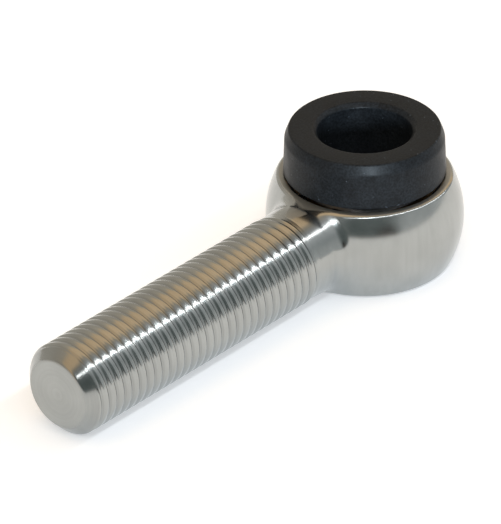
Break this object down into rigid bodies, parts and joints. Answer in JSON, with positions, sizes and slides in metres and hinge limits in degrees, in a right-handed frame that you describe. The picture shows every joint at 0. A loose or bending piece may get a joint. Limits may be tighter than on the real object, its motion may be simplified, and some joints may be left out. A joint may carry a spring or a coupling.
{
  "type": "rod end bearing",
  "caption": "Male rod end: a ball-shaped stainless eye on a threaded shank, with a spherical bearing and a black flanged bush that stands proud of the eye on one side.",
  "frame": {"origin": "centre of the ball, on the bore axis in the middle of the eye", "axes": "+Z along the bore towards the collar, shank along -X, +Y completes a right-handed frame"},
  "size_m": [0.0648, 0.0232, 0.017],
  "materials": {
    "stainless_body": "polished stainless steel, satin on the end face",
    "bronze_race": "machined bearing bronze",
    "spring_steel": "dark spring steel",
    "ball_steel": "ground bearing steel under a film of oil",
    "black_polymer": "matte black, fine grain"
  },
  "bodies": {
    "rod": {"rod_end_body": "stainless_body", "race_upper": "bronze_race", "race_lower": "bronze_race", "retaining_ring": "spring_steel"},
    "ball": {"ball": "ball_steel"},
    "bush": {"collar_bush": "black_polymer"}
  },
  "joints": [
    {"name": "ball_tilt", "type": "hinge", "parent": "rod", "child": "ball", "pos_m": [0, 0, 0], "axis": [1, 0, 0], "range_deg": [-2, 2]},
    {"name": "bush_spin", "type": "hinge", "parent": "ball", "child": "bush", "pos_m": [0, 0, 0], "axis": [0, 0, 1], "continuous": true}
  ]
}
